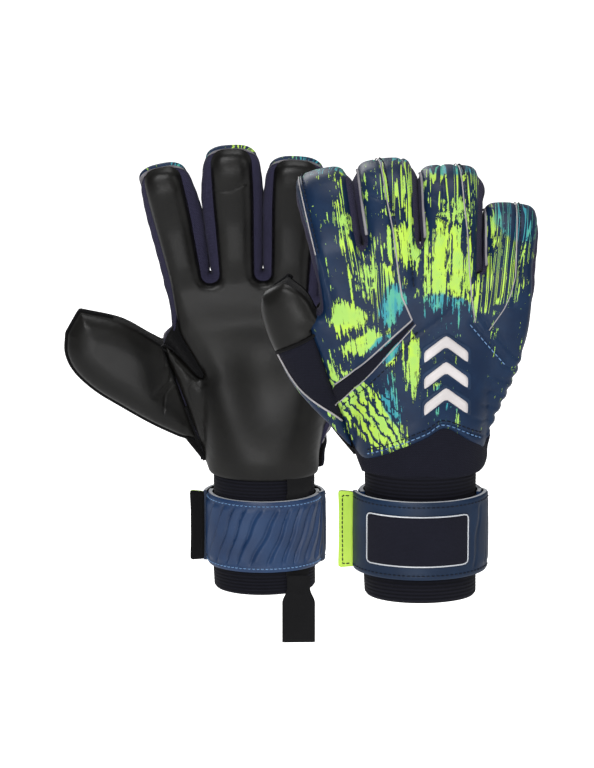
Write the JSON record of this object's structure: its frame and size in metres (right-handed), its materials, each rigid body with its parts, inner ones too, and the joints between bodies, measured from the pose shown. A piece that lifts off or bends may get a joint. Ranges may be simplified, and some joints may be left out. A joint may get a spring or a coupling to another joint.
{
  "type": "goalkeeper gloves",
  "caption": "Pair of padded goalkeeper gloves with foam palms, printed backs, fabric finger sides, elastic cuffs and wrap-round wrist straps.",
  "frame": {"origin": "centre of the left glove's cuff opening, where the hand goes in", "axes": "+Z from the cuffs to the fingertips; the left glove's palm and the right glove's back face -Y; both thumbs point to -X"},
  "size_m": [0.2761, 0.2771, 0.3369],
  "materials": {
    "palm_foam": "satin",
    "printed_back": "satin",
    "gusset_fabric": "matte",
    "lining_fabric": "matte",
    "elastic": "matte",
    "strap_rubber": "satin",
    "patch_fabric": "matte",
    "end_tab_rubber": "satin",
    "badge_rubber": "satin",
    "spine_plastic": "matte",
    "webbing": "matte"
  },
  "bodies": {
    "left_hand": {"left_palm_latex": "palm_foam", "left_backhand_panel": "printed_back", "left_hand_gussets": "gusset_fabric", "left_hand_lining": "lining_fabric", "left_wrist_bandage": "elastic", "left_strap_wrap": "strap_rubber", "left_badge": "badge_rubber"},
    "left_index_finger": {"left_index_latex": "palm_foam", "left_index_back": "printed_back", "left_index_gussets": "gusset_fabric", "left_index_spine": "spine_plastic"},
    "left_middle_finger": {"left_middle_latex": "palm_foam", "left_middle_back": "printed_back", "left_middle_gussets": "gusset_fabric", "left_middle_spine": "spine_plastic"},
    "left_ring_finger": {"left_ring_latex": "palm_foam", "left_ring_back": "printed_back", "left_ring_gussets": "gusset_fabric", "left_ring_spine": "spine_plastic"},
    "left_pinky_finger": {"left_pinky_latex": "palm_foam", "left_pinky_back": "printed_back", "left_pinky_gussets": "gusset_fabric", "left_pinky_spine": "spine_plastic"},
    "left_thumb": {"left_thumb_latex": "palm_foam", "left_thumb_back": "printed_back", "left_thumb_gusset": "gusset_fabric"},
    "left_strap_end": {"left_strap_flap": "strap_rubber", "left_flap_patch": "patch_fabric", "left_end_tab": "end_tab_rubber"},
    "left_tab": {"left_pull_tab": "webbing"},
    "right_hand": {"right_palm_latex": "palm_foam", "right_backhand_panel": "printed_back", "right_hand_gussets": "gusset_fabric", "right_hand_lining": "lining_fabric", "right_wrist_bandage": "elastic", "right_strap_wrap": "strap_rubber", "right_badge": "badge_rubber"},
    "right_index_finger": {"right_index_latex": "palm_foam", "right_index_back": "printed_back", "right_index_gussets": "gusset_fabric", "right_index_spine": "spine_plastic"},
    "right_middle_finger": {"right_middle_latex": "palm_foam", "right_middle_back": "printed_back", "right_middle_gussets": "gusset_fabric", "right_middle_spine": "spine_plastic"},
    "right_ring_finger": {"right_ring_latex": "palm_foam", "right_ring_back": "printed_back", "right_ring_gussets": "gusset_fabric", "right_ring_spine": "spine_plastic"},
    "right_pinky_finger": {"right_pinky_latex": "palm_foam", "right_pinky_back": "printed_back", "right_pinky_gussets": "gusset_fabric", "right_pinky_spine": "spine_plastic"},
    "right_thumb": {"right_thumb_latex": "palm_foam", "right_thumb_back": "printed_back", "right_thumb_gusset": "gusset_fabric"},
    "right_strap_end": {"right_strap_flap": "strap_rubber", "right_flap_patch": "patch_fabric", "right_end_tab": "end_tab_rubber"},
    "right_tab": {"right_pull_tab": "webbing"}
  },
  "joints": [
    {"name": "left_index_knuckle", "type": "hinge", "parent": "left_hand", "child": "left_index_finger", "pos_m": [-0.0451, -0.014, 0.186], "axis": [0.9781, 0, 0.2079], "range_deg": [-4, 71], "stiffness_Nm_per_rad": 0.2},
    {"name": "left_middle_knuckle", "type": "hinge", "parent": "left_hand", "child": "left_middle_finger", "pos_m": [-0.0157, -0.014, 0.19], "axis": [0.999, 0, 0.0436], "range_deg": [-4, 71], "stiffness_Nm_per_rad": 0.2},
    {"name": "left_ring_knuckle", "type": "hinge", "parent": "left_hand", "child": "left_ring_finger", "pos_m": [0.0157, -0.014, 0.187], "axis": [0.9986, 0, -0.0523], "range_deg": [-4, 71], "stiffness_Nm_per_rad": 0.2},
    {"name": "left_pinky_knuckle", "type": "hinge", "parent": "left_hand", "child": "left_pinky_finger", "pos_m": [0.0466, -0.014, 0.171], "axis": [0.9816, 0, -0.1908], "range_deg": [-4, 71], "stiffness_Nm_per_rad": 0.2},
    {"name": "left_thumb_root", "type": "hinge", "parent": "left_hand", "child": "left_thumb", "pos_m": [-0.04866, -0.014, 0.1175], "axis": [-0.3234, 0, 0.9463], "range_deg": [-5, 55], "stiffness_Nm_per_rad": 0.2},
    {"name": "left_strap_peel", "type": "hinge", "parent": "left_hand", "child": "left_strap_end", "pos_m": [0.0363, 0, 0.037], "axis": [0, 0, -1], "range_deg": [0, 150]},
    {"name": "left_tab_swing", "type": "hinge", "parent": "left_hand", "child": "left_tab", "pos_m": [0.021, -0.02351, 0.012], "axis": [-1, 0, 0], "range_deg": [0, 110], "stiffness_Nm_per_rad": 0.01},
    {"name": "right_index_knuckle", "type": "hinge", "parent": "right_hand", "child": "right_index_finger", "pos_m": [0.0429, -0.196, 0.242], "axis": [-0.9703, 0, -0.2419], "range_deg": [-34, 26], "stiffness_Nm_per_rad": 0.2},
    {"name": "right_middle_knuckle", "type": "hinge", "parent": "right_hand", "child": "right_middle_finger", "pos_m": [0.0723, -0.196, 0.246], "axis": [-0.9945, 0, -0.1045], "range_deg": [-34, 26], "stiffness_Nm_per_rad": 0.2},
    {"name": "right_ring_knuckle", "type": "hinge", "parent": "right_hand", "child": "right_ring_finger", "pos_m": [0.1037, -0.196, 0.243], "axis": [-1, 0, 0], "range_deg": [-34, 26], "stiffness_Nm_per_rad": 0.2},
    {"name": "right_pinky_knuckle", "type": "hinge", "parent": "right_hand", "child": "right_pinky_finger", "pos_m": [0.1346, -0.196, 0.227], "axis": [-0.9976, 0, 0.0698], "range_deg": [-34, 26], "stiffness_Nm_per_rad": 0.2},
    {"name": "right_thumb_root", "type": "hinge", "parent": "right_hand", "child": "right_thumb", "pos_m": [0.03939, -0.196, 0.1735], "axis": [0.3223, 0, -0.9466], "range_deg": [-35, 25], "stiffness_Nm_per_rad": 0.2},
    {"name": "right_strap_peel", "type": "hinge", "parent": "right_hand", "child": "right_strap_end", "pos_m": [0.1243, -0.21, 0.093], "axis": [0, 0, 1], "range_deg": [0, 150]},
    {"name": "right_tab_swing", "type": "hinge", "parent": "right_hand", "child": "right_tab", "pos_m": [0.109, -0.18649, 0.068], "axis": [1, 0, 0], "range_deg": [-70, 40], "stiffness_Nm_per_rad": 0.01},
    {"name": "right_glove_apart", "type": "slide", "parent": "left_hand", "child": "right_hand", "axis": [1, 0, 0], "range_m": [0, 0.25]}
  ]
}
